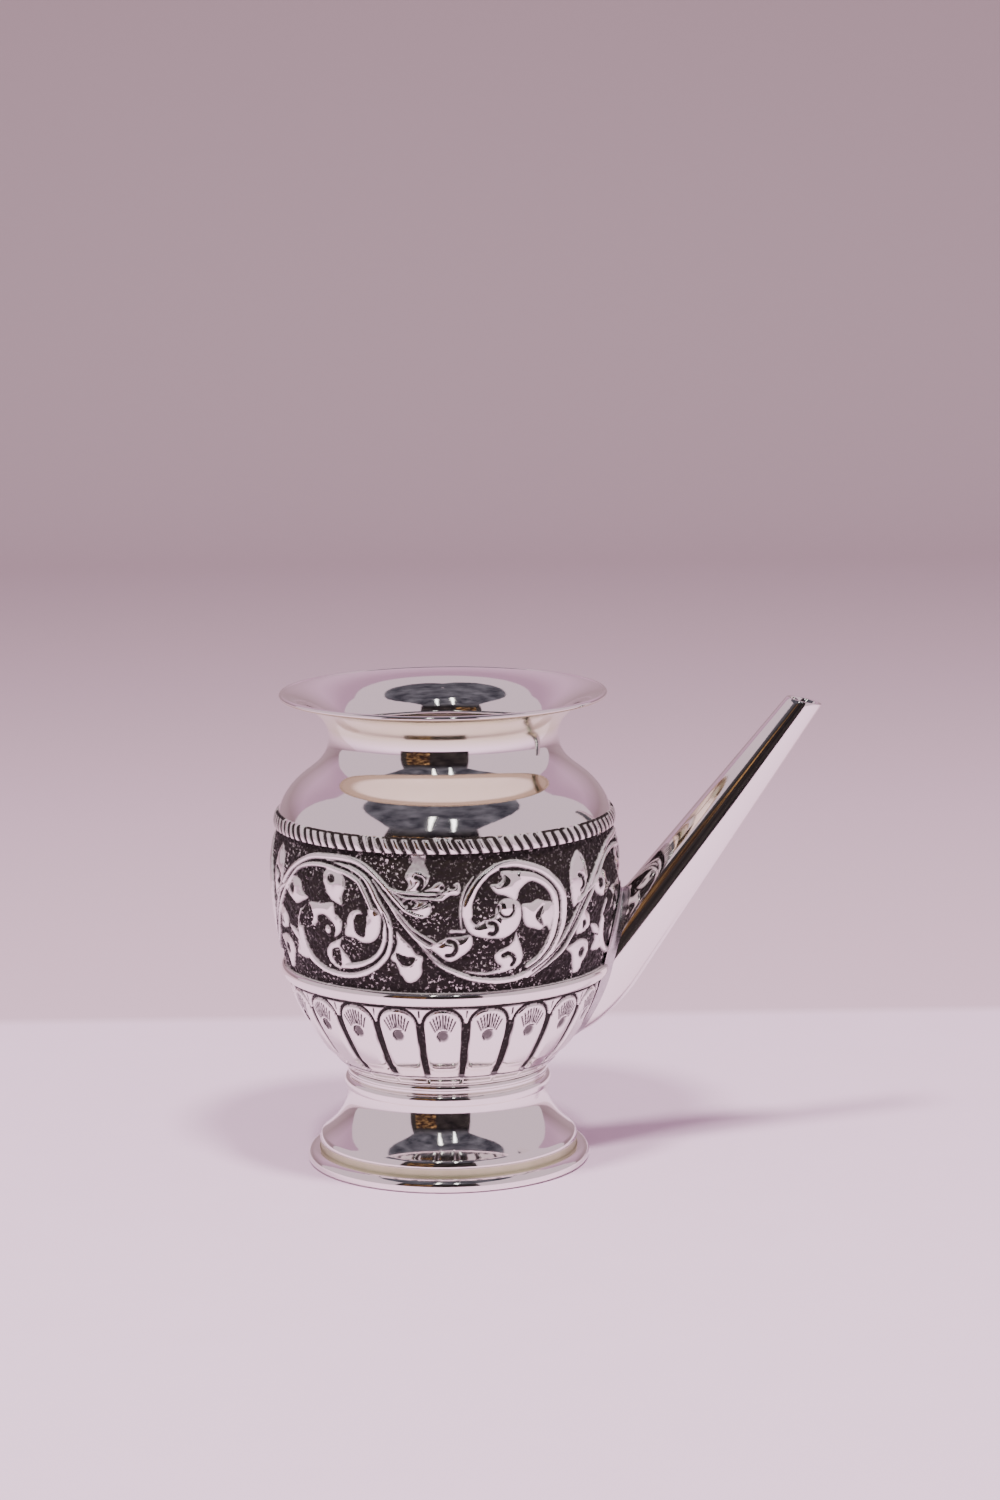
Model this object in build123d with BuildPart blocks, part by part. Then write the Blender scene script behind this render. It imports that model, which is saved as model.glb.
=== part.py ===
from build123d import *
import os
from math import atan2, cos, degrees, radians, sin

# A small raised silver karwa: a footed pot with a wide flared mouth and one straight spout,
# open at the top, with no lid, handle or moving part. Millimetres, +Z up, the spout points
# along +X, and the origin is on the pot's axis in the plane that the foot ring stands on.

# ---------------------------------------------------------------- driving dimensions
# sheet and wire
body_wall = 0.8  # raised sheet of the bowl, belly and neck
foot_wall = 0.8  # spun sheet of the foot
spout_wall = 0.7  # rolled sheet of the spout

# heights, stacked from the floor up
foot_height = 16.0  # floor to the top of the spun foot
collar_height = 4.6  # turned collar between the foot and the bowl
bowl_height = 21.1  # collar to the belt seam
belly_rise = 23.3  # belt seam to the widest part of the belly
belly_fall = 8.8  # widest part to the border seam
shoulder_drop = 8.2  # border seam to the middle of the shoulder
neck_rise = 9.0  # middle of the shoulder to the throat
mouth_rise = 9.0  # throat to the top of the lip

# radii of the outer surface
bowl_base_radius = 21.0
belt_radius = 33.9
belly_radius = 36.55
border_radius = 35.1
shoulder_radius = 30.2
throat_radius = 24.0
rim_radius = 34.2

# foot and collar
foot_ring_radius = 29.84
foot_ring_height = 2.9
foot_ring_flat = 29.3  # outer radius of the flat that the pot stands on
foot_skirt_radius = 27.1  # outer radius of the foot's upright edge, inside the ring
foot_skirt_height = 4.5  # where the upright edge meets the flare
foot_flare_radius = 27.5
foot_neck_radius = 21.1
foot_skirt_lift = 0.4  # the sheet's edge stays clear of the table
collar_bead_radius = 21.75
collar_band_radius = 21.1
collar_groove_radius = 20.6
collar_bead_height = 2.7
collar_bore_radius = 19.6

# wires
belt_wire_height = 2.8
belt_wire_proud = 0.75
border_wire_height = 3.4
border_wire_proud = 0.65
lip_wire_radius = 0.55

# spout
spout_elevation = 53.1
spout_length = 69.1  # belt seam to the middle of the mouth, along the spout
spout_root_radius = 7.4
spout_tip_radius = 3.45
spout_heel_length = 19.0  # rounded end below the belt seam
spout_mouth_tilt = 13.5  # the cut mouth leans outwards by this much
pour_hole_radius = 4.0
solder_reach = 1.1  # how far the solder runs up the spout and out over the body

# ---------------------------------------------------------------- levels
bowl_level = foot_height + collar_height
belt_level = bowl_level + bowl_height
belly_level = belt_level + belly_rise
border_level = belly_level + belly_fall
shoulder_level = border_level + shoulder_drop
throat_level = shoulder_level + neck_rise
rim_level = throat_level + mouth_rise
lip_centre = (rim_radius - lip_wire_radius, rim_level - lip_wire_radius)
mouth_edge = (lip_centre[0], lip_centre[1] - body_wall / 2)

# slopes of the outer surface where two pieces meet, as (outwards, upwards)
bowl_start_slope = (1, 0.62)
belt_slope = (0.2, 1)
border_slope = (-0.2, 1)
upright = (0, 1)
mouth_slope = (1, 0.15)
flare_slope = (1, -0.75)


# ---------------------------------------------------------------- shared outlines and forms
# Outlines are drawn flat, as (radius, height).
INSET_STEPS = 24  # points that carry a curve across the thickness of its sheet


def inset_points(curve, wall):
    """Points one wall to the left of a curve, which is inwards on a curve that climbs."""
    points = []
    for step in range(INSET_STEPS + 1):
        run = curve % (step / INSET_STEPS)
        points.append(curve @ (step / INSET_STEPS) + Vector(-run.Y, run.X) * wall)
    return points


with BuildLine() as body_outline:
    Spline(
        (bowl_base_radius, bowl_level),
        (belt_radius, belt_level),
        tangents=[bowl_start_slope, belt_slope],
        tangent_scalars=[0.7, 0.95],
    )
    Spline(
        (belt_radius, belt_level),
        (belly_radius, belly_level),
        (border_radius, border_level),
        tangents=[belt_slope, border_slope],
    )
    Spline(
        (border_radius, border_level),
        (shoulder_radius, shoulder_level),
        (throat_radius, throat_level),
        tangents=[border_slope, upright],
    )
    Spline(
        (throat_radius, throat_level),
        mouth_edge,
        tangents=[upright, mouth_slope],
        tangent_scalars=[1.0, 1.1],
    )

with BuildSketch(Plane.XZ) as wall_section:
    with BuildLine():
        add(body_outline.line)
        wall_inside = inset_points(body_outline.wire(), body_wall)
        Spline(wall_inside, tangents=[bowl_start_slope, mouth_slope])
        Line(wall_inside[0], (bowl_base_radius, bowl_level))
        Line(wall_inside[-1], mouth_edge)
    make_face()

def filled_outline(outside):
    """Draw half of the body as if it were solid, from the curve that bounds it outside."""
    first = outside.line @ 0
    last = outside.line @ 1
    add(outside.line)
    Polyline(last, (0, last.Y), (0, first.Y), first)


with BuildPart() as body_form:
    with BuildSketch(Plane.XZ):
        with BuildLine():
            filled_outline(body_outline)
        make_face()
    revolve(axis=Axis.Z)

with BuildLine() as solder_outline:
    Spline(
        inset_points(body_outline.wire(), -solder_reach),
        tangents=[bowl_start_slope, mouth_slope],
    )

with BuildPart() as solder_limit:
    with BuildSketch(Plane.XZ):
        with BuildLine():
            filled_outline(solder_outline)
        make_face()
    revolve(axis=Axis.Z)

spout_run = Vector(cos(radians(spout_elevation)), 0, sin(radians(spout_elevation)))
spout_root = Vector(belt_radius, 0, belt_level)
spout_side = Vector(spout_run.Z, 0, -spout_run.X)
spout_section_plane = Plane(origin=spout_root, x_dir=spout_side, z_dir=(0, -1, 0))
spout_axis = Axis(spout_root, spout_run)
spout_mouth = spout_root + spout_run * spout_length
mouth_lean = radians(spout_mouth_tilt)
spout_mouth_plane = Plane(origin=spout_mouth, z_dir=(sin(mouth_lean), 0, cos(mouth_lean)))


def spout_outline(inset):
    """Draw half of the spout about its axis, a rounded heel and a long taper, inset by a wall."""
    past_mouth = 2 * spout_tip_radius
    taper = (spout_root_radius - spout_tip_radius) / spout_length
    end = spout_length + past_mouth
    end_radius = spout_root_radius - taper * end - inset
    root_radius = spout_root_radius - inset
    heel = spout_heel_length - inset
    EllipticalCenterArc((0, 0), root_radius, heel, start_angle=270, arc_size=90)
    Polyline((root_radius, 0), (end_radius, end), (0, end), (0, -heel))


with BuildPart() as spout_form:
    with BuildSketch(spout_section_plane):
        with BuildLine():
            spout_outline(0)
        make_face()
    revolve(axis=spout_axis)
    split(bisect_by=spout_mouth_plane, keep=Keep.BOTTOM)

with BuildPart() as spout_bore:
    with BuildSketch(spout_section_plane):
        with BuildLine():
            spout_outline(spout_wall)
        make_face()
    revolve(axis=spout_axis)

with BuildPart() as pour_hole:
    with BuildSketch(Plane(origin=spout_root, z_dir=spout_run)):
        Circle(pour_hole_radius)
    extrude(amount=spout_root_radius + body_wall, both=True)


def wall_between(low, high):
    """Sketch the part of the body's wall that lies between two levels."""
    add(wall_section.sketch_local)
    with Locations((0, low)):
        Rectangle(2 * belly_radius, high - low, align=(Align.MIN, Align.MIN), mode=Mode.INTERSECT)


# ---------------------------------------------------------------- foot
with BuildPart() as foot_ring:
    with BuildSketch(Plane.XZ):
        with BuildLine():
            Polyline(
                (foot_ring_flat, 0),
                (foot_skirt_radius, 0),
                (foot_skirt_radius, foot_ring_height),
                (foot_ring_flat - foot_ring_height / 3, foot_ring_height),
            )
            ThreePointArc(
                (foot_ring_flat - foot_ring_height / 3, foot_ring_height),
                (foot_ring_radius, foot_ring_height / 2),
                (foot_ring_flat, 0),
            )
        make_face()
    revolve(axis=Axis.Z)

with BuildPart() as foot_shell:
    with BuildSketch(Plane.XZ):
        with BuildLine():
            flare_start = (foot_flare_radius - foot_wall, foot_skirt_height + 2 * foot_wall)
            flare_end = (foot_flare_radius, foot_skirt_height + foot_wall)
            skirt_inside = foot_skirt_radius - foot_wall
            trumpet = Spline(
                (foot_neck_radius, foot_height),
                flare_start,
                tangents=[(0, -1), flare_slope],
                tangent_scalars=[1.2, 0.9],
            )
            trumpet_inside = inset_points(trumpet, -foot_wall)
            Spline(trumpet_inside, tangents=[(0, -1), flare_slope])
            TangentArc(flare_start, flare_end, tangent=flare_slope)
            Polyline(
                flare_end,
                (foot_skirt_radius, foot_skirt_height),
                (foot_skirt_radius, foot_skirt_lift),
                (skirt_inside, foot_skirt_lift),
                (skirt_inside, foot_skirt_height),
                trumpet_inside[-1],
            )
            Line(trumpet_inside[0], (foot_neck_radius, foot_height))
        make_face()
    revolve(axis=Axis.Z)

with BuildPart() as foot_collar:
    with BuildSketch(Plane.XZ):
        with BuildLine():
            bead_top = foot_height + collar_bead_height
            groove = collar_band_radius - collar_groove_radius
            ThreePointArc(
                (foot_neck_radius, foot_height),
                (collar_bead_radius, foot_height + collar_bead_height / 2),
                (collar_groove_radius, bead_top),
            )
            ThreePointArc(
                (collar_groove_radius, bead_top),
                (collar_band_radius, (bead_top + bowl_level) / 2),
                (collar_groove_radius, bowl_level),
            )
            Polyline(
                (collar_groove_radius, bowl_level),
                (collar_bore_radius, bowl_level),
                (collar_bore_radius, foot_height),
                (foot_neck_radius, foot_height),
            )
        make_face()
    revolve(axis=Axis.Z)

# ---------------------------------------------------------------- body
with BuildPart() as bowl:
    with BuildSketch(Plane.XZ):
        wall_between(bowl_level, belt_level)
        with Locations((0, bowl_level)):
            Rectangle(bowl_base_radius, body_wall, align=(Align.MIN, Align.MIN))
    revolve(axis=Axis.Z)
    add(pour_hole.part, mode=Mode.SUBTRACT)

with BuildPart() as belly_band:
    with BuildSketch(Plane.XZ):
        wall_between(belt_level, border_level)
    revolve(axis=Axis.Z)
    add(pour_hole.part, mode=Mode.SUBTRACT)

with BuildPart() as lip_wire:
    with BuildSketch(Plane.XZ):
        with Locations(lip_centre):
            Circle(lip_wire_radius)
    revolve(axis=Axis.Z)

with BuildPart() as neck_shell:
    with BuildSketch(Plane.XZ):
        wall_between(border_level, rim_level)
    revolve(axis=Axis.Z)
    add(lip_wire.part, mode=Mode.SUBTRACT)

# ---------------------------------------------------------------- spout
with BuildPart() as spout_tube:
    add(spout_form.part)
    add(spout_bore.part, mode=Mode.SUBTRACT)
    add(body_form.part, mode=Mode.SUBTRACT)

with BuildPart() as spout_solder:
    with BuildSketch(spout_section_plane):
        with BuildLine():
            spout_outline(-solder_reach)
        make_face()
    revolve(axis=spout_axis)
    add(solder_limit.part, mode=Mode.INTERSECT)
    add(spout_form.part, mode=Mode.SUBTRACT)
    add(body_form.part, mode=Mode.SUBTRACT)

# ---------------------------------------------------------------- wires laid on the seams
with BuildPart() as belt_wire:
    belt_lean = degrees(atan2(belt_slope[1], belt_slope[0])) - 90
    with BuildSketch(Plane.XZ):
        with Locations(Location((belt_radius, belt_level), belt_lean)):
            Ellipse(belt_wire_proud, belt_wire_height / 2)
    revolve(axis=Axis.Z)
    add(body_form.part, mode=Mode.SUBTRACT)
    add(spout_form.part, mode=Mode.SUBTRACT)
    add(spout_solder.part, mode=Mode.SUBTRACT)

with BuildPart() as border_wire:
    border_lean = degrees(atan2(border_slope[1], border_slope[0])) - 90
    with BuildSketch(Plane.XZ):
        with Locations(Location((border_radius, border_level), border_lean)):
            Ellipse(border_wire_proud, border_wire_height / 2)
    revolve(axis=Axis.Z)
    add(body_form.part, mode=Mode.SUBTRACT)

# ---------------------------------------------------------------- files
pieces = {
    "foot_ring": foot_ring,
    "foot_shell": foot_shell,
    "foot_collar": foot_collar,
    "bowl": bowl,
    "belly_band": belly_band,
    "neck_shell": neck_shell,
    "lip_wire": lip_wire,
    "belt_wire": belt_wire,
    "border_wire": border_wire,
    "spout_tube": spout_tube,
    "spout_solder": spout_solder,
}
os.makedirs("parts", exist_ok=True)
for name, piece in pieces.items():
    piece.part.label = name
    export_step(piece.part, f"parts/{name}.step")
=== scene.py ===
from math import atan2, cos, pi, radians, sin

import bpy
import numpy as np
from mathutils import Matrix, Vector


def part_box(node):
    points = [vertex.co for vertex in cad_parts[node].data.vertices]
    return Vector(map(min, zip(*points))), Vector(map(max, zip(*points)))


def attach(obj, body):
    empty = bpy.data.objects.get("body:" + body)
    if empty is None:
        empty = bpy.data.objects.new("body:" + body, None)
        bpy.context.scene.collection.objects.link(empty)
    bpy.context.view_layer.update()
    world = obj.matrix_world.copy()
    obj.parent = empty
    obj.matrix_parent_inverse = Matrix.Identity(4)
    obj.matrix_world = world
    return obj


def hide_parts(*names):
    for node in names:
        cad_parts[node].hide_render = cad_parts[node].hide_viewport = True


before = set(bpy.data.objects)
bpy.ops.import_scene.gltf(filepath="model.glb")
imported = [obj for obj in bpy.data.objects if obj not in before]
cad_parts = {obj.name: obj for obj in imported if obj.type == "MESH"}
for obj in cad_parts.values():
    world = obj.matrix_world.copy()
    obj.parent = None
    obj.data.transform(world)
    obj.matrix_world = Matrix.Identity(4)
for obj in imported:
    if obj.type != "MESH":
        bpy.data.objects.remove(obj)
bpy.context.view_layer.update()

# A small raised silver karwa: footed, wide in the mouth, with one straight spout, chased round
# the belly with scrolling leaves and round the bowl with petals. Sizes below are millimetres,
# and meshes are laid out in metres as they are made.
MM = 0.001


def box_mm(node):
    """A node's lowest and highest corners in millimetres."""
    low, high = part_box(node)
    return np.array(low) / MM, np.array(high) / MM


# ---------------------------------------------------------------- levels and radii, from the frame
BOWL_LOW, BOWL_HIGH = (corner[2] for corner in box_mm("bowl"))
BELT = BOWL_HIGH
BORDER = box_mm("belly_band")[1][2]
RIM = box_mm("lip_wire")[1][2]
RIM_RADIUS = box_mm("lip_wire")[1][1]
BELLY_RADIUS = box_mm("belly_band")[1][1]
FOOT_TOP = box_mm("foot_shell")[1][2]
RING_TOP = box_mm("foot_ring")[1][2]
RING_RADIUS = box_mm("foot_ring")[1][1]
WALL = 0.8
LIP_WIRE = 0.55
LIP_CENTRE = (RIM_RADIUS - LIP_WIRE, RIM - LIP_WIRE)
MOUTH_EDGE = (LIP_CENTRE[0], LIP_CENTRE[1] - WALL / 2)
BELLY_LEVEL = 65.0
SHOULDER = (30.2, 82.0)
THROAT = (24.0, 91.0)
BELT_RADIUS, BORDER_RADIUS, BOWL_BASE_RADIUS = 33.9, 35.1, 21.0
FOOT_NECK_RADIUS = 21.1


# ---------------------------------------------------------------- outlines
def bend(start, leave, arrive, end, steps=40):
    """A curve from start to end that leaves along one handle and arrives along the other."""
    t = np.linspace(0, 1, steps + 1)[:, None]
    start, end = np.array(start, float), np.array(end, float)
    a, b = start + leave, end - np.array(arrive, float)
    return (1 - t) ** 3 * start + 3 * t * (1 - t) ** 2 * a + 3 * t * t * (1 - t) * b + t**3 * end


def chain(*parts):
    """Curves joined end to end, each meeting place kept once."""
    return np.vstack([part[:-1] for part in parts[:-1]] + [parts[-1]])


def faces_out(line):
    """The direction to the right of a line at each of its points, outwards where it climbs."""
    run = np.gradient(line, axis=0)
    run /= np.linalg.norm(run, axis=1)[:, None]
    return np.column_stack([run[:, 1], -run[:, 0]])


def respaced(line, spacing):
    """The same line with points at an even spacing."""
    along = np.concatenate([[0], np.cumsum(np.linalg.norm(np.diff(line, axis=0), axis=1))])
    wanted = np.linspace(0, along[-1], max(2, round(along[-1] / spacing)) + 1)
    return np.column_stack([np.interp(wanted, along, line[:, k]) for k in range(2)])


def rounded(corners, radius, steps=4):
    """A closed outline with each corner eased by a small arc."""
    p = np.array(corners, float)
    made = []
    for before, here, after in zip(np.roll(p, 1, 0), p, np.roll(p, -1, 0)):
        back, on = before - here, after - here
        reach = min(radius, np.linalg.norm(back) / 2.2, np.linalg.norm(on) / 2.2)
        start = here + back / np.linalg.norm(back) * reach
        end = here + on / np.linalg.norm(on) * reach
        t = np.linspace(0, 1, steps + 1)[:, None]
        made.append((1 - t) ** 2 * start + 2 * t * (1 - t) * here + t * t * end)
    return np.vstack(made)


BOWL_LINE = bend((BOWL_BASE_RADIUS, BOWL_LOW), (4.904, 3.041), (1.536, 7.679), (BELT_RADIUS, BELT))
BELLY_LINE = chain(
    bend((BELT_RADIUS, BELT), (1.708, 8.541), (-0.674, 7.528), (BELLY_RADIUS, BELLY_LEVEL)),
    bend((BELLY_RADIUS, BELLY_LEVEL), (-0.256, 2.863), (-0.606, 3.031), (BORDER_RADIUS, BORDER)),
)
NECK_LINE = chain(
    bend((BORDER_RADIUS, BORDER), (-0.723, 3.615), (-2.378, 2.017), SHOULDER),
    bend(SHOULDER, (-2.721, 2.308), (0, 5.104), THROAT),
    bend(THROAT, (0, 4.189), (4.557, 0.684), MOUTH_EDGE),
)
BODY_LINE = chain(BOWL_LINE, BELLY_LINE, NECK_LINE)
SMOOTH_STEP = 0.5  # spacing of the rows on plain sheet
FINE_STEP = 0.21  # spacing of the rows on chased sheet
CHASED_COLUMNS = 1080
PLAIN_COLUMNS = 288


# ---------------------------------------------------------------- meshes
def make_mesh(name, points, quads, black=None):
    """An object from vertices in millimetres and an array of quads, shaded smooth."""
    mesh = bpy.data.meshes.new(name)
    mesh.vertices.add(len(points))
    mesh.vertices.foreach_set("co", (np.asarray(points) * MM).astype(np.float32).ravel())
    mesh.loops.add(quads.size)
    mesh.loops.foreach_set("vertex_index", quads.astype(np.int32).ravel())
    mesh.polygons.add(len(quads))
    mesh.polygons.foreach_set("loop_start", np.arange(0, quads.size, 4, dtype=np.int32))
    mesh.update(calc_edges=True)
    mesh.validate()
    mesh.shade_smooth()
    if black is not None:
        mask = mesh.attributes.new("black", "FLOAT", "POINT")
        mask.data.foreach_set("value", np.asarray(black, np.float32).ravel())
    made = bpy.data.objects.new(name, mesh)
    bpy.context.scene.collection.objects.link(made)
    return made


def grid_quads(rows, columns, closed_rows=True, closed_columns=True):
    """The quads of a grid of vertices numbered row by row, joined round where it is closed."""
    i = np.arange(rows if closed_rows else rows - 1)
    j = np.arange(columns if closed_columns else columns - 1)
    i, j = np.meshgrid(i, j, indexing="ij")
    k, m = (i + 1) % rows, (j + 1) % columns
    corners = [i * columns + j, i * columns + m, k * columns + m, k * columns + j]
    return np.stack(corners, -1).reshape(-1, 4)


def turned(name, radius, height, black=None, crease=None):
    """A ring-shaped solid from its closed section, given as (rows, columns) of radius and height.

    The columns start at the back and run round by the left, the front and the spout."""
    rows, columns = radius.shape
    turn = np.arange(columns) * 2 * pi / columns - pi
    points = np.stack([radius * np.sin(turn), -radius * np.cos(turn), height], -1)
    made = make_mesh(name, points.reshape(-1, 3), grid_quads(rows, columns), black)
    if crease:
        made.data.set_sharp_from_angle(angle=radians(crease))
    return made


def spun(name, section, columns=PLAIN_COLUMNS, crease=40):
    """A plain ring from a closed section that runs up its outer face and down its inner one."""
    radius = np.repeat(section[:, :1], columns, axis=1)
    height = np.repeat(section[:, 1:], columns, axis=1)
    return turned(name, radius, height, crease=crease)


def sheet_section(line, inside_step=SMOOTH_STEP * 2):
    """The closed section of plain sheet under an outer line."""
    outside = respaced(line, SMOOTH_STEP)
    inner = respaced(line, inside_step)
    inner = inner - WALL * faces_out(inner)
    return np.vstack([outside, inner[::-1]])


# ---------------------------------------------------------------- chased scrollwork
# Places on the belly are (turn, height): degrees round the pot from the front towards the
# spout, and millimetres above the table. The scroll repeats three times round.
GIRTH = 0.622  # millimetres round the belly for each degree
SCROLL_TURN = 120  # degrees round the pot that one repeat takes
GROUND = -0.6  # the punched ground lies this far under the sheet's outer face
LEAF_EDGE = 0.5  # width of the rolled edge of a leaf
LEAF_CROWN = 0.4  # rise of a leaf's middle over its edge
LEAF_SLOPE = 2.2  # how far in from the edge that rise takes
SOFT = 0.1  # how quickly the blackening stops at an edge
OVERLAP = (-184, 185)  # turns that a line right round the pot runs between
BELT_LINE = 43.65  # height of the blackened line over the belt
PLAIN_FOOT = (42.9, 43.15)  # the belly is plain below these heights and chased above


def smooth_line(points, closed=False, finest=0.25):
    """Points along a flowing curve through the given ones, a few to the millimetre."""
    p = np.array(points, float)
    if closed:
        ring = np.vstack([p[-1:], p, p[:2]])
    else:
        ring = np.vstack([2 * p[0] - p[1], p, 2 * p[-1] - p[-2]])
    made = []
    for a, b, c, d in zip(ring[:-3], ring[1:-2], ring[2:-1], ring[3:]):
        run = max(np.hypot(*(c - b)[:2]), 1e-6)
        before, after = max(np.hypot(*(b - a)[:2]), 1e-6), max(np.hypot(*(d - c)[:2]), 1e-6)
        leave = run * ((c - b) / run * before + (b - a) / before * run) / (before + run)
        arrive = run * ((d - c) / after * run + (c - b) / run * after) / (after + run)
        t = np.arange(0, 1, 1 / max(2, int(run / finest)))[:, None]
        made.append(
            (2 * t**3 - 3 * t**2 + 1) * b
            + (t**3 - 2 * t**2 + t) * leave
            + (3 * t**2 - 2 * t**3) * c
            + (t**3 - t**2) * arrive
        )
    if not closed:
        made.append(p[-1:])
    return np.vstack(made)


def ramp(low, high, x):
    """0 below low, 1 above high, easing between."""
    t = np.clip((x - low) / (high - low), 0, 1)
    return t * t * (3 - 2 * t)


class Relief:
    """A sheet of metal laid flat, with how far its face stands out and how black it is.

    shift is the turn that the next marks are made at."""

    def __init__(self, turns, heights, girth, ground, dark):
        self.girth, self.shift = girth, 0
        self.x, self.z = turns * girth, heights
        self.shape = (len(heights), len(turns))
        self.height = np.full(self.shape, ground, float)
        self.dark = np.full(self.shape, dark, float)

    def window(self, line, reach=1.6):
        """The part of the sheet near a line, and the distance there to the line.

        Also gives the line's third number at the nearest place, and what the line encloses."""
        low, high = line.min(0)[:2] - reach, line.max(0)[:2] + reach
        i = slice(*np.searchsorted(self.z, (low[1], high[1])))
        j = slice(*np.searchsorted(self.x, (low[0], high[0])))
        x, z = np.meshgrid(self.x[j], self.z[i])
        best = np.full(x.shape, 1e9)
        extra = np.zeros(x.shape)
        inside = np.zeros(x.shape, bool)
        for a, b in zip(line[:-1], line[1:]):
            step = b - a
            size = step[0] ** 2 + step[1] ** 2 + 1e-12
            t = np.clip(((x - a[0]) * step[0] + (z - a[1]) * step[1]) / size, 0, 1)
            d = np.hypot(x - a[0] - t * step[0], z - a[1] - t * step[1])
            near = d < best
            best = np.where(near, d, best)
            if len(a) > 2:
                extra = np.where(near, a[2] + t * step[2], extra)
            across = (a[1] > z) != (b[1] > z)
            rise = np.where(abs(step[1]) < 1e-12, 1e-12, step[1])
            inside ^= across & (x < a[0] + (z - a[1]) * step[0] / rise)
        return (i, j), best, extra, inside

    def flat(self, points):
        """Places as (turn, height, ...) turned by shift and laid out in millimetres."""
        p = np.array(points, float)
        p[:, 0] = (p[:, 0] + self.shift) * self.girth
        return p

    def outline(self, points, reach):
        """The part of the sheet near a closed outline, and how far in each point lies."""
        line = smooth_line(self.flat(points), closed=True)
        part, d, _, inside = self.window(np.vstack([line, line[:1]]), reach)
        return part, np.where(inside, d, -d)

    def raise_to(self, part, depth_in, made, edge_shade, clear_at):
        """Lifts the part inside an edge and clears it of black, least at the edge, where the grey left
        is painted shade.
        """
        ground = self.height[part]
        self.height[part] = np.where(depth_in > 0, np.maximum(ground, made), ground)
        # how much black stays near the edge: painted shade for the rounding of the relief
        unshaded = 1 - edge_shade + edge_shade * ramp(0.1, clear_at, depth_in)
        clear = ramp(-0.02, 2 * SOFT, depth_in) * unshaded
        self.dark[part] = np.minimum(self.dark[part], 1 - clear)

    def leaf(self, points):
        """A leaf left standing above the ground, with a rolled edge and a low crown."""
        part, d = self.outline(points, reach=0.5)
        rolled = np.sqrt(np.clip(1 - (1 - np.clip(d / LEAF_EDGE, 0, 1)) ** 2, 0, 1))
        swell = LEAF_CROWN * (ramp(0, LEAF_SLOPE, d) - 1)
        # the leaf keeps some black near its edge as painted shade
        self.raise_to(part, d, GROUND + (swell - GROUND) * rolled, edge_shade=0.3, clear_at=0.8)

    def stem(self, points):
        """A round stem along (turn, height, width) places."""
        part, d, width, _ = self.window(smooth_line(self.flat(points)))
        share = np.clip(d / (width / 2), 0, 1)
        made = GROUND - GROUND * np.sqrt(1 - share**2)
        # the stem keeps some black near its edges as painted shade
        self.raise_to(part, width / 2 - d, made, edge_shade=0.25, clear_at=0.4)

    def line(self, points, width=0.5, depth=0.3, black=1.0):
        """A blackened line cut along a path. A third number at each place scales its width."""
        path = self.flat(points)
        if path.shape[1] < 3:
            path = np.column_stack([path, np.ones(len(path))])
        part, d, scale, _ = self.window(smooth_line(path))
        half = width * scale / 2
        cut = 1 - ramp(0.35, 1.25, d / half)
        self.height[part] -= depth * cut
        self.dark[part] = np.maximum(self.dark[part], black * (1 - ramp(0.75, 1.2, d / half)))

    def dent(self, points, depth=0.3, black=1.0):
        """A punched hollow inside an outline, blackened inside as painted shade."""
        part, d = self.outline(points, reach=0.6)
        self.height[part] -= depth * ramp(-0.4, 0.35, d)
        self.dark[part] = np.maximum(self.dark[part], black * ramp(-SOFT, SOFT, d))

    def pearl(self, place, size, depth=0.3, black=1.0):
        """A round or oval dent (depth above 0) or bump (below 0), at a place, (wide, high). A dent is
        blackened inside as painted shade; a bump is cleared of black.
        """
        x, z = (place[0] + self.shift) * self.girth, place[1]
        wide, high = size[0] * self.girth / 2, size[1] / 2
        i = slice(*np.searchsorted(self.z, (z - 2 * high, z + 2 * high)))
        j = slice(*np.searchsorted(self.x, (x - 2 * wide, x + 2 * wide)))
        gx, gz = np.meshgrid(self.x[j], self.z[i])
        d = np.hypot((gx - x) / wide, (gz - z) / high)
        self.height[i, j] -= depth * np.sqrt(np.clip(1 - d**2, 0, 1))
        if depth > 0:
            self.dark[i, j] = np.maximum(self.dark[i, j], black * (1 - ramp(0.7, 1.15, d)))
        else:
            self.dark[i, j] = np.minimum(self.dark[i, j], ramp(0.7, 1.15, d))


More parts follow.
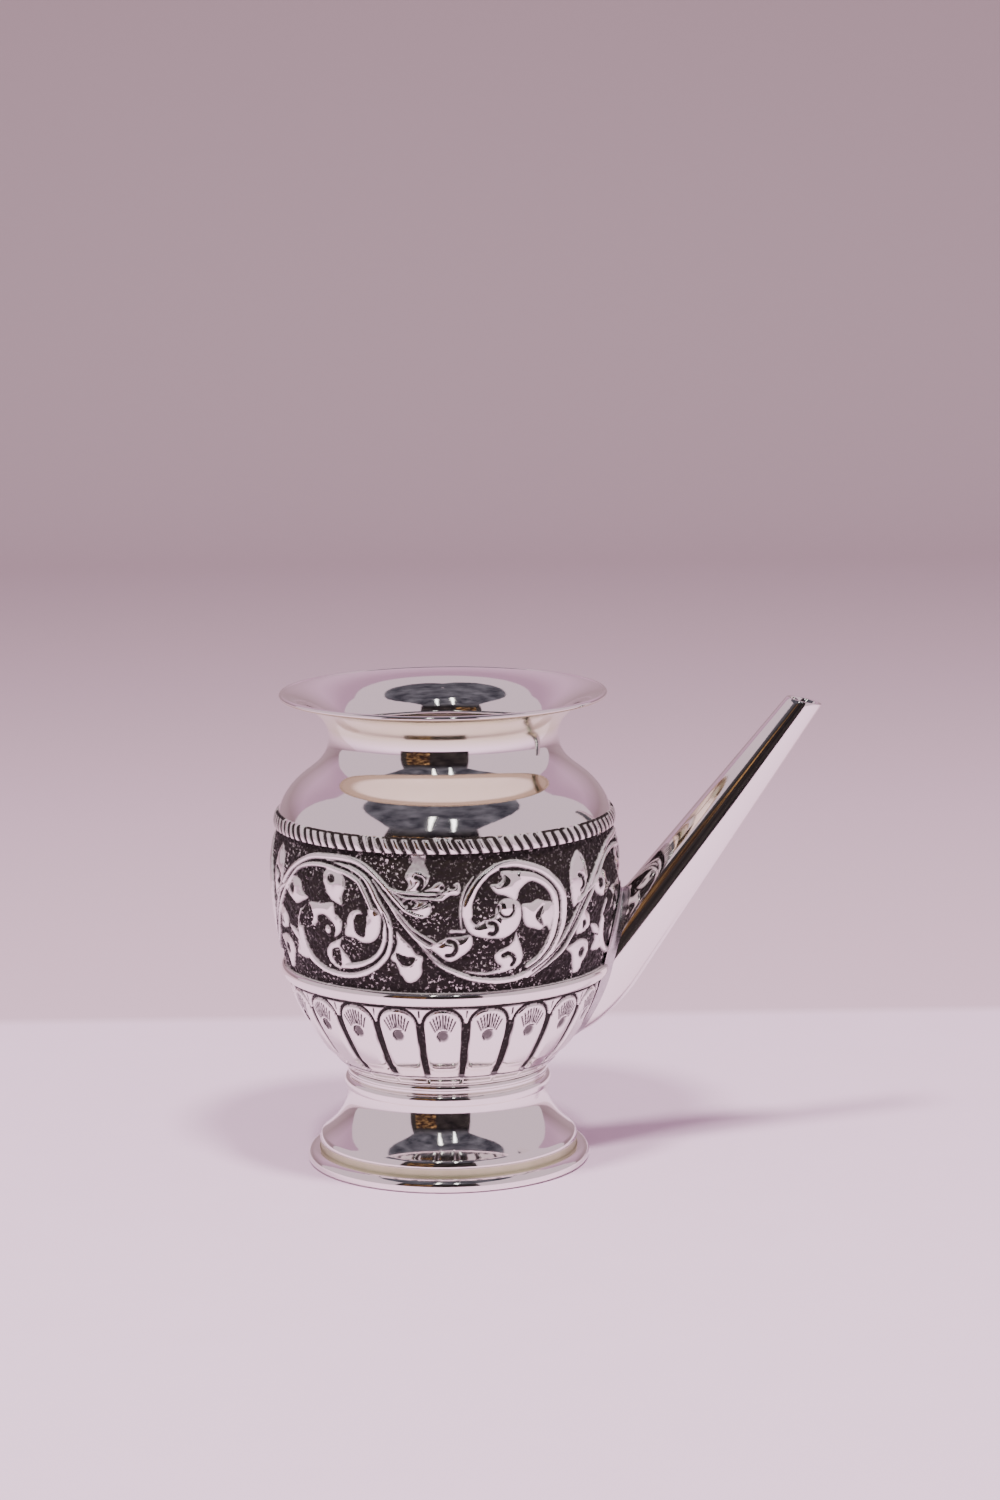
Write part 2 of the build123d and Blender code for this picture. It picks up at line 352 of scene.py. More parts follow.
# Stems, as (turn, height, width).
SCROLL_STEMS = {
    "outer_stem": [
        (-60, 66.6, 1.2), (-56, 68.2, 1.2), (-50, 69.8, 1.2), (-42, 70.4, 1.3), (-36, 70.5, 1.3),
        (-30, 70, 1.2), (-26.5, 69, 1.2), (-21, 66.3, 1.2), (-17.6, 64, 1.2), (-15, 62.2, 1.2),
        (-13, 60.9, 1.0), (-10, 59.9, 0.8), (-7.5, 59.5, 0.7),
    ],
    "spiral_stem": [
        (-42, 69.6, 0.5), (-36, 69.2, 0.7), (-31, 68.4, 0.9), (-27, 67, 1.1), (-24.4, 65, 1.2),
        (-22.8, 63, 1.25), (-21, 61, 1.3), (-19.5, 59.2, 1.5), (-18.8, 57.5, 1.6),
    ],
    "spiral_inner": [
        (-19.3, 58, 1.0), (-19.9, 56.5, 0.9), (-20.5, 54, 0.9), (-21.9, 52, 0.95),
        (-25, 50, 1.0), (-28, 49, 1.1), (-32, 48.2, 1.3), (-36, 47.9, 1.3), (-40, 48, 1.2),
    ],
    "spiral_outer": [
        (-18.3, 58, 0.8), (-18, 56, 0.9), (-18.5, 53.2, 1.0), (-19.9, 51, 1.1), (-22.8, 49, 1.2),
        (-28, 47, 1.3), (-34, 45.9, 1.3), (-40, 45.8, 1.3), (-47, 46.6, 1.4), (-53, 48.9, 2.0),
        (-55.3, 51, 2.2), (-56, 53.5, 2.0), (-55.6, 56, 1.6), (-54, 58, 1.3),
    ],
    "inner_arch": [
        (-60, 64.6, 0.7), (-56, 66.9, 0.8), (-50, 68.2, 0.9), (-44, 68.5, 0.9), (-38, 68, 0.9),
        (-32.5, 67.2, 1.0), (-29, 66, 1.0), (-27, 64, 1.0), (-25.3, 62, 0.9), (-24.4, 60.5, 0.9),
    ],
    "eye_leaf_stalk": [(-72, 60, 0.8), (-67, 61.7, 0.8), (-61.5, 63.4, 0.9)],
    "middle_stem": [
        (-24, 66.8, 0.4), (-21.9, 65, 0.6), (-18.1, 62, 0.7), (-14.9, 58.8, 0.8),
        (-12, 56.5, 0.9), (-8.3, 54.3, 0.9), (-5.5, 53.1, 1.0),
    ],
    "middle_ridge": [
        (-17, 61.6, 0.3), (-14.1, 59.4, 0.45), (-10.9, 57, 0.5), (-7, 55.3, 0.5), (-3.4, 53.9, 0.5),
    ],
    "lower_stem": [
        (-12, 56.1, 0.5), (-8.8, 54, 0.7), (-5.7, 51.6, 0.8), (-2.3, 49.4, 1.0), (2.7, 47.6, 1.1),
        (8, 46.3, 1.2), (14, 45.5, 1.3), (20, 45.3, 1.4), (26, 45.8, 1.5), (31, 47.2, 1.6),
        (35.2, 49.4, 1.7), (38.5, 52.2, 1.7), (40.8, 55.5, 1.7), (41.4, 59, 1.7),
        (40.8, 62.3, 1.7), (38, 65, 1.7), (34, 67.3, 1.6), (28, 69, 1.5), (22, 69.8, 1.5),
        (16, 69, 1.5), (11.4, 67, 1.6), (8.4, 64.4, 1.8), (6.9, 62, 2.0), (6.8, 59.8, 2.2),
    ],
    "ring_ridge": [(4.9, 57, 0.3), (4.6, 60, 0.5), (5, 63, 0.5), (6.6, 65.6, 0.45), (9, 67.6, 0.3)],
    "ring_band": [
        (28, 47.9, 1.0), (31.8, 49.2, 1.3), (34.9, 51.4, 1.5), (36.8, 54, 1.6), (37.8, 57, 1.6),
        (37.9, 60, 1.6), (36.9, 62.6, 1.6), (34.3, 64.8, 1.6), (30, 66.5, 1.7), (25, 67.2, 1.8),
    ],
    "rising_stem": [
        (28, 45.6, 0.8), (35, 48.4, 1.0), (40, 51.2, 1.1), (45, 55.3, 1.2), (50, 59.9, 1.2),
        (55, 63.5, 1.2), (60, 66.6, 1.2), (64, 68.2, 1.2),
    ],
    "rising_ridge": [
        (30, 45.6, 0.4), (38, 48.3, 0.7), (42, 50, 0.9), (46, 53.2, 0.9), (50, 57, 0.9),
        (55, 61, 0.9), (60, 64.6, 0.8),
    ],
    "trio_stem": [
        (-20, 65.6, 0.5), (-16, 64.7, 0.6), (-10, 64.3, 0.6), (-4, 64.2, 0.6), (0, 64.7, 0.6),
    ],
    "trio_lower_stem": [(-17, 64.6, 0.4), (-13.5, 63.5, 0.5), (-8, 63.4, 0.5), (-3.5, 63.2, 0.5)],
}

# Leaves, as outlines of (turn, height).
SCROLL_LEAVES = {
    "hanging_leaf": [
        (-43.5, 66.3), (-42.6, 64.4), (-40.7, 62.3), (-37.5, 61.1), (-35.4, 60.8), (-35.4, 62.6),
        (-34.3, 64.6), (-34.6, 66.4), (-37, 68), (-41, 68.7),
    ],
    "eye_leaf": [
        (-64.5, 62.8), (-62.5, 64), (-60, 64.8), (-57.5, 65), (-54.8, 64.2), (-53.4, 62.2),
        (-50.7, 61.2), (-54, 60), (-57, 59.3), (-60, 59.9), (-62.8, 61.2),
    ],
    "curling_leaf": [
        (-55.9, 56.5), (-53.8, 58.7), (-50, 60.3), (-44, 60.6), (-38.8, 60.9), (-38.3, 59),
        (-36, 57.6), (-35.9, 56), (-37.3, 54.5), (-39.7, 53.7), (-38.9, 55.2), (-39.3, 56.4),
        (-41, 57.6), (-43.5, 58.2), (-46, 57.7), (-46.5, 56.4), (-50, 55.2), (-53.5, 54.6),
    ],
    "bottom_leaf": [
        (-36.7, 53.5), (-39.5, 52.9), (-42.4, 51.8), (-43.9, 50), (-43.3, 48.4), (-41, 47.3),
        (-36, 47), (-33.5, 48), (-34.3, 49.5), (-36.2, 50.8), (-37.3, 52),
    ],
    "right_leaf": [
        (-34.7, 54.6), (-34, 57), (-33.2, 58.7), (-31, 60), (-28.5, 60.1), (-27, 58.8),
        (-26, 59.2), (-25.6, 60.6), (-23.6, 61), (-21.6, 60), (-21.3, 57.5), (-22, 55.5),
        (-24, 53.9), (-28, 53.3), (-31.5, 54.1),
    ],
    "low_leaf": [
        (-16.3, 56.3), (-14, 54.7), (-11.5, 53.1), (-9.8, 51.5), (-7.8, 51), (-8.2, 49),
        (-8.3, 47.3), (-10.6, 45.6), (-12.8, 45.2), (-15.4, 46.8), (-17, 49.3), (-18.6, 50.4),
        (-16.8, 52.4), (-16.1, 54.3),
    ],
    "middle_leaf": [
        (-6, 53.4), (-3.4, 51.8), (1.6, 49.9), (5, 51), (7.6, 52.3), (8.7, 54), (8, 55.4),
        (4, 55.2), (0, 55), (-3.2, 54),
    ],
    "middle_leaf_rim": [(1, 56.2), (3.5, 56.1), (6.2, 56.1), (6.4, 56.6), (3.5, 56.7), (1, 56.6)],
    "lily": [
        (-12.8, 64.6), (-11.8, 66.1), (-13.1, 67.7), (-12.3, 69.2), (-11, 70.6), (-11.4, 72),
        (-6.4, 72), (-6.7, 70.4), (-5.4, 68.6), (-5.3, 67.1), (-6.7, 65.6), (-9.6, 64.5),
    ],
    "small_petal": [
        (-6.8, 64.9), (-3.5, 64.8), (-0.8, 64.8), (-0.2, 65.6), (-1.6, 66.7), (-3.3, 66.4),
        (-4.6, 65.6),
    ],
    "bent_petal": [
        (-4, 63), (-1, 62.9), (1.5, 63.9), (4.2, 64.1), (4.8, 65.2), (4.1, 66.6), (2.2, 66.1),
        (0.5, 65.4), (-1.5, 64.1),
    ],
    "under_leaf": [
        (-15.3, 62.2), (-13.6, 60.6), (-10, 59.6), (-6.6, 59.3), (-4.6, 60.8), (-5.2, 62.6),
        (-8.5, 62.9), (-12, 63.2),
    ],
    "ring_crescent": [
        (5.4, 60.2), (5.9, 57.9), (7.6, 56), (11, 54.9), (15, 54.5), (19.5, 54.5), (22.4, 55.5),
        (24.6, 57.8), (25, 59.8), (23.9, 61.8), (21, 62.7), (18, 62.5), (16.2, 60.9), (15.7, 59),
        (12, 58.5), (9.6, 57.7), (8.3, 58.6), (8, 60.4),
    ],
    "ring_top_leaf": [
        (14.6, 65.8), (16.3, 64), (19.5, 63.3), (23, 62.2), (24.4, 64.2), (27.3, 65.6),
        (30, 66), (28, 67.5), (23, 68.2), (18, 68.1), (18.6, 66.8), (16.8, 65.9),
    ],
    "ring_right_leaf": [
        (25.3, 59.6), (25, 61.1), (28.5, 61.4), (31, 61.9), (33.4, 61.3), (36, 61), (37.4, 59),
        (36.6, 56.4), (35.8, 54.9), (34.3, 56), (32.4, 55.3), (29.6, 55.8), (26.8, 56.5),
        (25.6, 58),
    ],
    "ring_low_leaf": [
        (23.3, 55.6), (22.4, 53.8), (20.4, 52.6), (17.5, 51.8), (16.1, 51), (16.9, 49.2),
        (18.6, 48.4), (16, 47.5), (10, 47.5), (5, 48), (10, 46.9), (16, 46.8), (22, 47.4),
        (25.7, 48.7), (26.1, 50.6), (25, 52.8), (24, 54.2),
    ],
    "upright_leaf": [
        (46.2, 58.8), (44.6, 62), (44.4, 65.5), (45.8, 68.3), (49.7, 70.4), (52.4, 68.6),
        (53.4, 65.8), (52.2, 62.8), (49.6, 61),
    ],
    "cluster_round": [
        (44.3, 50.1), (47, 48.7), (48.6, 46), (49.8, 44.2), (52.4, 44.4), (55, 46.6), (57, 48.8),
        (55.5, 50.6), (51.5, 51.5), (47.5, 51),
    ],
    "cluster_upper": [(48.4, 52.8), (52, 52.8), (55.2, 53.7), (54.3, 56.7), (50.5, 57.9), (49.2, 55.6)],
    "cluster_right": [
        (56, 54.1), (60.5, 53.5), (65, 50.6), (68.3, 48.3), (64, 47.6), (58.6, 48.6), (60.4, 50.4),
        (58.6, 52),
    ],
}


def chase_scroll(sheet):
    """One repeat of the scroll: a ring of leaves, a ring with a crescent, and what is between."""
    for points in SCROLL_LEAVES.values():
        sheet.leaf(points)
    for points in SCROLL_STEMS.values():
        sheet.stem(points)
    # hollows punched in the leaves and lines cut in them; the black in the hollows and in the wide
    # crescent lines is painted shade
    sheet.pearl((-39.7, 66.1), (4, 2.3))
    sheet.pearl((-59.2, 62.4), (3.6, 2.6))
    sheet.dent([(-56.2, 55), (-54.1, 58.1), (-50.6, 60.1), (-48.1, 58.4), (-49.6, 55.6), (-53.4, 54.6)])
    sheet.pearl((-42, 55.2), (2.3, 1.7), depth=-0.45)
    sheet.dent([(-40.9, 51.1), (-38.1, 51.6), (-37.2, 49.6), (-37.9, 47.6), (-40.2, 48.2)])
    sheet.dent([(-31, 57), (-29.6, 59.4), (-26.8, 59.3), (-26.4, 56.5), (-27.5, 54.5), (-30, 54.9)])
    sheet.dent([(-16.8, 51.7), (-12.9, 51.1), (-10.1, 50.8), (-11.5, 49.2), (-14.9, 49)])
    sheet.line([(0.7, 54.3), (2.6, 54), (3.2, 52.8), (2.2, 51.6), (0.2, 51.3)], 1.1, 0.35)
    sheet.line([(-1, 55.5), (6.2, 55.6)], 0.55, 0.3)
    sheet.dent([(-11.9, 71.3), (-6, 71.3), (-5.3, 67.9), (-8.5, 68.8), (-12.4, 68.4)], 0.25, 0.75)
    sheet.line([(-9.4, 67.6), (-7.8, 67.2), (-7.7, 66), (-8.6, 65.2)], 1.1, 0.35)
    sheet.pearl((-1.2, 65.5), (1.9, 1.2))
    sheet.line([(-6, 64.6), (-1, 64.6), (0.6, 65.1)], 0.35, 0.25)
    sheet.pearl((2.2, 65.6), (2.8, 1.2))
    sheet.dent([(-14, 62.2), (-11.5, 63.2), (-9.1, 62.3), (-11.1, 61.2)])
    sheet.line([(-12.5, 61), (-9.5, 61.1), (-7, 61.8), (-5.3, 62.6)], 0.4, 0.25)
    sheet.line([(14, 57.9), (15.9, 57.5), (16.3, 56.3), (15.4, 55.5), (14.1, 55.7)], 1.1, 0.35)
    sheet.line([(21.9, 61.3), (22, 60.2), (20.9, 59.2), (19, 59), (17.5, 59.8), (17.1, 61.2)], 0.7, 0.3)
    sheet.pearl((19.7, 60.9), (3.1, 1.9), depth=-0.12)
    sheet.dent([(33, 60.5), (30.6, 59.7), (29.8, 58.3), (31.3, 56.9), (33.3, 56.1), (32, 58.3)])
    sheet.line([(19, 50.7), (20.6, 51.1), (22.4, 50.5), (23, 49.4), (22.3, 48.6)], 1.1, 0.35)
    sheet.line([(48.2, 65.4), (50.2, 64.7), (50.5, 63.2), (49.4, 62.3)], 1.1, 0.35)
    sheet.pearl((52, 48.7), (3.7, 2.5))
    sheet.pearl((51.6, 54.7), (1.9, 2.2))
    # blackened lines between the stems
    sheet.line([(-46, 69.2), (-41, 69.4), (-36, 69.5), (-30, 68.9), (-26, 67.4)], 0.45, 0.35)
    sheet.line([(-20.3, 59.9), (-19.1, 57.4), (-19.2, 55), (-20.3, 52.3), (-23.5, 49.6), (-30, 47.4),
                (-38, 46.9)], 0.5, 0.35)
    sheet.line([(-23.4, 66), (-20, 62.9), (-16.5, 59.5), (-12, 55.9), (-7, 52.4), (-3, 49.9),
                (3, 48.2)], 0.45, 0.25, 0.8)
    sheet.line([(8, 46.9), (14, 46.3), (20, 46.1), (25, 46.6), (30, 47.9), (34.9, 50.3), (38, 53.1),
                (39.6, 56.5), (39.8, 59.6), (38.9, 62.6), (36, 65), (31, 67.3), (25, 68.5),
                (18, 68.9)], 0.6, 0.4)
    sheet.line([(30, 46.8), (37, 49.5), (42, 52.4), (46, 56.2), (50, 60), (54, 62.6)], 0.4, 0.3)
    sheet.line([(33, 46.9), (40, 49.8), (45, 53.4), (50, 58.3), (55, 62.2), (60, 65.5), (64, 67.4)],
               0.4, 0.3)
    sheet.line([(46.5, 52), (52, 52.1), (58, 51.8), (61.5, 51.3)], 0.4, 0.3)


def line_round(level, step, *waves):
    """A path right round the pot at a level, with (size, rate) waves as a hand draws it."""
    return [(t, sum((size * sin(rate * t) for size, rate in waves), level))
            for t in range(*OVERLAP, step)]


def chased_belly(turns, heights):
    """The belly's scrollwork between a blackened line over the belt and one under the border."""
    sheet = Relief(turns, heights, GIRTH, GROUND, 1.0)
    for repeat in (-2, -1, 0, 1, 2):
        sheet.shift = repeat * SCROLL_TURN
        chase_scroll(sheet)
    sheet.shift = 0
    sheet.line(line_round(BELT_LINE, 2, (0.12, 0.23), (0.06, 0.9)), 0.9, 0.1)
    return sheet


# ---------------------------------------------------------------- chased bowl and border
PETALS = 21
PETAL_CENTRE = -1.6  # turn of the front petal
PETAL_HALF = 7.7  # half width of a petal's outline, in degrees
PETAL_SPRING = 34.6  # where the sides of the outline start to arch
PETAL_TOP = 39.5
PETAL_FOOT = 23.0
PETAL_PART = 36.2  # below this height the outlines of two petals run together
PETAL_PUFF = 0.3  # rise of a petal's middle over its outline
PETAL_STEP = 0.28  # depth of the plain step under the petals' feet
ARCH = 2.3  # how square the arch is: 2 is a plain ellipse
BOWL_GIRTH = 0.56  # millimetres round the bowl for each degree
LINE_HALF = 0.36  # half width of a petal's outline
LINE_DEEP = 0.38
# Lines round the bowl, over and under the petals, as (height, width, depth, black).
BOWL_LINES = ((39.85, 0.95, 0.3, 1.0), (22.7, 0.34, 0.15, 0.9))
PEARL_HEIGHT, PEARL_SIZE = 33.4, (4.3, 2.5)
RAYS = 4  # fine lines each side of a petal's middle one
# The two ends of a ray, as (height, fall, spread, width) for each step from the middle ray.
RAY_ENDS = ((35.3, 0.045, 0.72, 0.9), (38.3, 0.09, 1.15, 1.1))
FINE_LINE = 0.34


def petal_angle(turn):
    """Each turn as degrees from the middle of its petal."""
    pitch = 360 / PETALS
    return (turn - PETAL_CENTRE + pitch / 2) % pitch - pitch / 2


def chased_bowl(turns, heights):
    """Petals with a blackened outline, a pearl and a fan of fine rays in each."""
    sheet = Relief(turns, heights, BOWL_GIRTH, 0.0, 0.0)
    turn, z = np.meshgrid(turns, heights)
    a = petal_angle(turn)
    wobble = 0.16 * np.sin(radians(1) * turn * 7 + 0.21 * z) + 0.1 * np.sin(0.9 * z + turn * 0.3)
    x = np.clip(np.abs(a) + wobble * 0.6, 0, None) * BOWL_GIRTH
    half, rise = PETAL_HALF * BOWL_GIRTH, PETAL_TOP - PETAL_SPRING
    up = np.clip(z - PETAL_SPRING, 0, None)
    reach = ((x / half) ** ARCH + (up / rise) ** ARCH) ** (1 / ARCH)
    scale = half + (rise - half) * np.clip(up / rise, 0, 1) * 0.8
    d = (reach - 1) * scale  # distance outside the petal's outline, about
    parting = PETAL_PART - 0.6 * np.abs(wobble)
    gap = (z < parting) & (d > -LINE_HALF)
    outline = np.abs(d) < LINE_HALF
    cut = np.where(gap, 1.0, 1 - ramp(LINE_HALF * 0.8, LINE_HALF * 1.5, np.abs(d)))
    cut = np.maximum(cut, ramp(-LINE_HALF * 1.6, -LINE_HALF, d) * (z < parting))
    on_petals = ramp(PETAL_FOOT - 0.25, PETAL_FOOT + 0.15, z)
    cut *= on_petals
    puff = -PETAL_PUFF * ramp(-1.7, 0, d) * on_petals
    sag = 0.5 * ramp(0.4, 1, np.abs(a) / PETAL_HALF)
    step = -PETAL_STEP * (1 - ramp(PETAL_FOOT + 1, PETAL_FOOT + 2.6, z - sag))
    sheet.height += puff - LINE_DEEP * cut + step * np.where(d < 0, 1, 0.6)
    dark = np.where(gap | outline, 1.0, ramp(0.55, 0.95, cut))
    sheet.dark = dark * on_petals
    for level, thick, deep, black in BOWL_LINES:
        sheet.line(line_round(level, 4, (0.07, 0.31)), thick, deep, black)
    for petal in range(-2, PETALS + 2):
        middle = PETAL_CENTRE + (petal - PETALS // 2) * 360 / PETALS
        sheet.shift = middle
        # the pearl is blackened inside and the fine crescent line beside it is dark: painted shade
        sheet.pearl((0, PEARL_HEIGHT), PEARL_SIZE, depth=0.5, black=0.86)
        sheet.line([(1.4, 34.6), (-1.2, 34.5), (-2.2, 33.4), (-1.2, 32.3)], FINE_LINE, 0.05)
        sheet.shift = middle + 180 / PETALS
        sheet.line([(0, 37.6, 0.6), (0.1, 39, 1)], 0.4, 0.15)
        sheet.shift = middle
        for ray in range(-RAYS, RAYS + 1):
            ends = [(ray * spread, level - fall * ray * ray, thick)
                    for level, fall, spread, thick in RAY_ENDS]
            sheet.line(ends, FINE_LINE, 0.1)
    return sheet


BORDER_NICKS = 101
BORDER_SIZE = (0.65, 1.7)  # how far the border wire stands out, and half its height
BELT_SIZE = (0.75, 1.4)  # the same for the belt wire
WIRE_LEAN = 0.2  # both wires lean with the wall, outwards or inwards by this much
NICK_TOP, NICK_FOOT = 74.95, 72.45
NICK_WIDTH, NICK_DEPTH = 1.25, 0.26


def half_round(centre, size, lean, rows):
    """The face of a half-round wire, bottom to top, as (radius, height)."""
    t = np.linspace(-pi / 2, pi / 2, rows)
    lean = atan2(lean, 1)
    out, up = size[0] * np.cos(t), size[1] * np.sin(t)
    radius = centre[0] + out * cos(lean) + up * sin(lean)
    return np.column_stack([radius, centre[1] - out * sin(lean) + up * cos(lean)])


def wire_back(face, depth):
    """The flat back of a half-round wire, top to bottom."""
    return np.array([face[-1] - (depth, 0.1), face[0] - (depth, -0.1)])


def chased_border(turns, heights, rng):
    """Slanting blackened nicks cut in the wire, with bright bars left between them."""
    sheet = Relief(turns, heights, GIRTH, 0.0, 0.0)
    for nick in range(-BORDER_NICKS // 2 - 1, BORDER_NICKS // 2 + 2):
        middle = nick * 360 / BORDER_NICKS + rng.normal(0, 0.12)
        lean = 1.0 + rng.normal(0, 0.1)
        width = NICK_WIDTH * (1 + rng.normal(0, 0.09))
        top, low = NICK_TOP + rng.normal(0, 0.06), NICK_FOOT + rng.normal(0, 0.08)
        sheet.shift = middle
        sheet.line([(-lean, top, 0.95), (0, (top + low) / 2, 1), (lean, low, 0.75)], width, NICK_DEPTH)
    turn, z = np.meshgrid(turns, heights)
    patchy = np.interp(turns, np.linspace(-180, 180, 61), rng.random(61), period=360)
    above = ramp(0.35, 0.55, patchy)[None, :] * ramp(74.9, 75.15, z)
    sheet.dark = np.maximum(sheet.dark, above)
    sheet.dark = np.maximum(sheet.dark, 1 - ramp(72.15, 72.4, z))
    return sheet


# ---------------------------------------------------------------- chased pieces
CHASED_TURNS = np.arange(CHASED_COLUMNS) * 360 / CHASED_COLUMNS - 180
DEEPEST = 0.9 * WALL  # no cut goes deeper into the sheet
MATTING = 0.09  # unevenness of the punched ground


def chased(name, line, relief, inner):
    """A ring whose outer face follows a relief, closed by a plain inner line."""
    columns = len(CHASED_TURNS)
    out = faces_out(line)
    relief.height = np.maximum(relief.height, -DEEPEST)
    radius = np.vstack([line[:, :1] + relief.height * out[:, :1],
                        np.repeat(inner[:, :1], columns, axis=1)])
    height = np.vstack([line[:, 1:] + relief.height * out[:, 1:],
                        np.repeat(inner[:, 1:], columns, axis=1)])
    black = np.vstack([relief.dark, np.zeros((len(inner), columns))])
    return turned(name, radius, height, black=black)


def inner_wall(line, spacing=1.3):
    """The inner face under an outer line, from its top down."""
    line = respaced(line, spacing)
    return (line - WALL * faces_out(line))[::-1]


def punched(rng, shape, rounds=2):
    """The uneven face that a matting punch leaves, about 0 and of unit size."""
    made = rng.random(shape)
    for _ in range(rounds):
        for axis in (0, 1):
            made = (np.roll(made, 1, axis) + 2 * made + np.roll(made, -1, axis)) / 4
    return (made - made.mean()) / made.std()


def make_belly():
    line = respaced(BELLY_LINE, FINE_STEP)
    sheet = chased_belly(CHASED_TURNS, line[:, 1])
    rng = np.random.default_rng(11)
    sheet.height += MATTING * punched(rng, sheet.shape) * sheet.dark
    is_chased = ramp(*PLAIN_FOOT, line[:, 1])[:, None]
    sheet.height *= is_chased
    sheet.dark *= is_chased
    return chased("belly", line, sheet, inner_wall(BELLY_LINE))


def make_bowl():
    line = respaced(BOWL_LINE, FINE_STEP)
    sheet = chased_bowl(CHASED_TURNS, line[:, 1])
    sheet.height *= ramp(BOWL_LOW, BOWL_LOW + 1.2, line[:, 1])[:, None]
    wall = inner_wall(BOWL_LINE)
    return chased("petal_bowl", line, sheet, wall[wall[:, 1] > BOWL_LOW + WALL])


def make_border():
    line = half_round((BORDER_RADIUS, BORDER), BORDER_SIZE, -WIRE_LEAN, 30)
    sheet = chased_border(CHASED_TURNS, line[:, 1], np.random.default_rng(5))
    return chased("border_band", line, sheet, wire_back(line, 0.25))


# ---------------------------------------------------------------- plain pieces
def make_neck():
    return spun("neck_and_mouth", sheet_section(NECK_LINE))


def make_lip():
    t = np.arange(20) * 2 * pi / 20
    ring = np.column_stack([np.cos(t), np.sin(t)]) * LIP_WIRE + LIP_CENTRE
    return spun("lip_bead", ring)


def make_belt():
    face = half_round((BELT_RADIUS, BELT), BELT_SIZE, WIRE_LEAN, 15)
    return spun("belt_band", np.vstack([face, wire_back(face, 0.3)]))


def make_collar():
    """A turned collar: a bead and a band, with fine lines turned in them."""
    bead = np.array([
        (FOOT_NECK_RADIUS, FOOT_TOP), (21.5, 16.25), (21.72, 16.9), (21.75, 17.5), (21.6, 18.1),
        (21.2, 18.5), (20.75, 18.62), (20.62, 18.72), (20.95, 18.85), (21.08, 19.2),
        (21.1, 19.42), (20.97, 19.5), (21.08, 19.58), (21.08, 20.1), (20.95, 20.4), (20.62, 20.6),
    ])
    outside = respaced(smooth_line(bead, finest=0.1), 0.12)
    inside = np.array([(19.6, 20.6), (19.6, 18.4), (19.6, 16.2), (19.8, FOOT_TOP)])
    return spun("collar", np.vstack([outside, inside]))


def make_foot():
    """The spun foot: a trumpet, a rounded flare and an upright skirt."""
    trumpet = bend((26.7, 6.1), (-2.73, 2.047), (0, 4.55), (FOOT_NECK_RADIUS, FOOT_TOP))
    flare = bend((27.1, 4.5), (0.32, 0.14), (-0.3, 0.26), (26.7, 6.1), 16)
    skirt = np.array([(27.1, 0.4), (27.1, 1.6), (27.1, 3.2), (27.1, 4.1)])
    outside = chain(skirt, flare, respaced(trumpet, SMOOTH_STEP))
    inner = respaced(trumpet, SMOOTH_STEP)
    inner = (inner - WALL * faces_out(inner))[::-1]
    within = np.array([(26.3, 4.6), (26.3, 2.4), (26.3, 0.4)])
    return spun("foot", np.vstack([outside, inner, within]), crease=50)


def make_ring():
    """The wire ring that the pot stands on."""
    corners = [(27.1, 0), (29.3, 0), (29.72, 0.6), (RING_RADIUS, 1.45), (29.6, 2.1), (29.1, 2.65),
               (28.4, RING_TOP), (27.1, RING_TOP)]
    return spun("standing_ring", rounded(corners, 0.3, 5), crease=60)


# ---------------------------------------------------------------- spout
SPOUT_LEAN = radians(53.1)
SPOUT_LENGTH = 69.1
ROOT_RADIUS, TIP_RADIUS = 7.4, 3.45
HEEL = 19.0
SPOUT_WALL = 0.7
MOUTH_TILT = radians(13.5)
SPOUT_COLUMNS, SPOUT_ROWS, BORE_ROWS = 144, 90, 40
LET_IN = 0.75  # how far the spout's root is let into the body's wall
# The steps of the eased mouth, as (in from the outside, down from the cut).
MOUTH_STEPS = ((0.04, 0.04), (0.14, 0.0), (0.5, 0.0), (0.62, 0.05))
SOLDER_UNDER, SOLDER_OVER = 1.25, 1.45  # the fillet's reach below, and what the top adds to it
RUN = np.array([cos(SPOUT_LEAN), 0, sin(SPOUT_LEAN)])
UNDER = np.array([sin(SPOUT_LEAN), 0, -cos(SPOUT_LEAN)])
ACROSS = np.array([0, 1, 0])
ROOT = np.array([BELT_RADIUS, 0, BELT])


def spout_radius(along, inset=0.0):
    """The spout's radius at a distance along it; behind the root it closes in a round heel."""
    straight = ROOT_RADIUS - (ROOT_RADIUS - TIP_RADIUS) * along / SPOUT_LENGTH - inset
    share = np.clip(-along / (HEEL - inset), 0, 1)
    return np.where(along > 0, straight, (ROOT_RADIUS - inset) * np.sqrt(1 - share**2))


def spout_point(turn, along, inset=0.0):
    """Places on the spout, by turn about its run and distance along it."""
    reach = spout_radius(along, inset)[..., None]
    side = np.cos(turn)[..., None] * UNDER + np.sin(turn)[..., None] * ACROSS
    return ROOT + along[..., None] * RUN + reach * side


def outside_body(points, depth=0.0):
    """How far places are outside the body, or outside a body thinner by depth."""
    wall = np.interp(points[..., 2], BODY_LINE[:, 1], BODY_LINE[:, 0])
    return np.hypot(points[..., 0], points[..., 1]) - wall + depth


def leaves_body(turn, depth, inset=0.0):
    """How far along the spout each side of it comes out of the body."""
    low = np.full(turn.shape, -HEEL + inset + 0.01)
    high = np.full(turn.shape, SPOUT_LENGTH * 0.8)
    for _ in range(40):
        middle = (low + high) / 2
        out = outside_body(spout_point(turn, middle, inset), depth) > 0
        high = np.where(out, middle, high)
        low = np.where(out, low, middle)
    return high


def meets_mouth(turn, inset, sunk=0.0):
    """How far along each side of the spout meets the plane of its cut mouth."""
    face = np.array([sin(MOUTH_TILT), 0, cos(MOUTH_TILT)])
    along = np.full(turn.shape, SPOUT_LENGTH)
    for _ in range(6):
        gap = (spout_point(turn, along, inset) - ROOT - SPOUT_LENGTH * RUN) @ face + sunk
        along = along - gap / (RUN @ face)
    return along


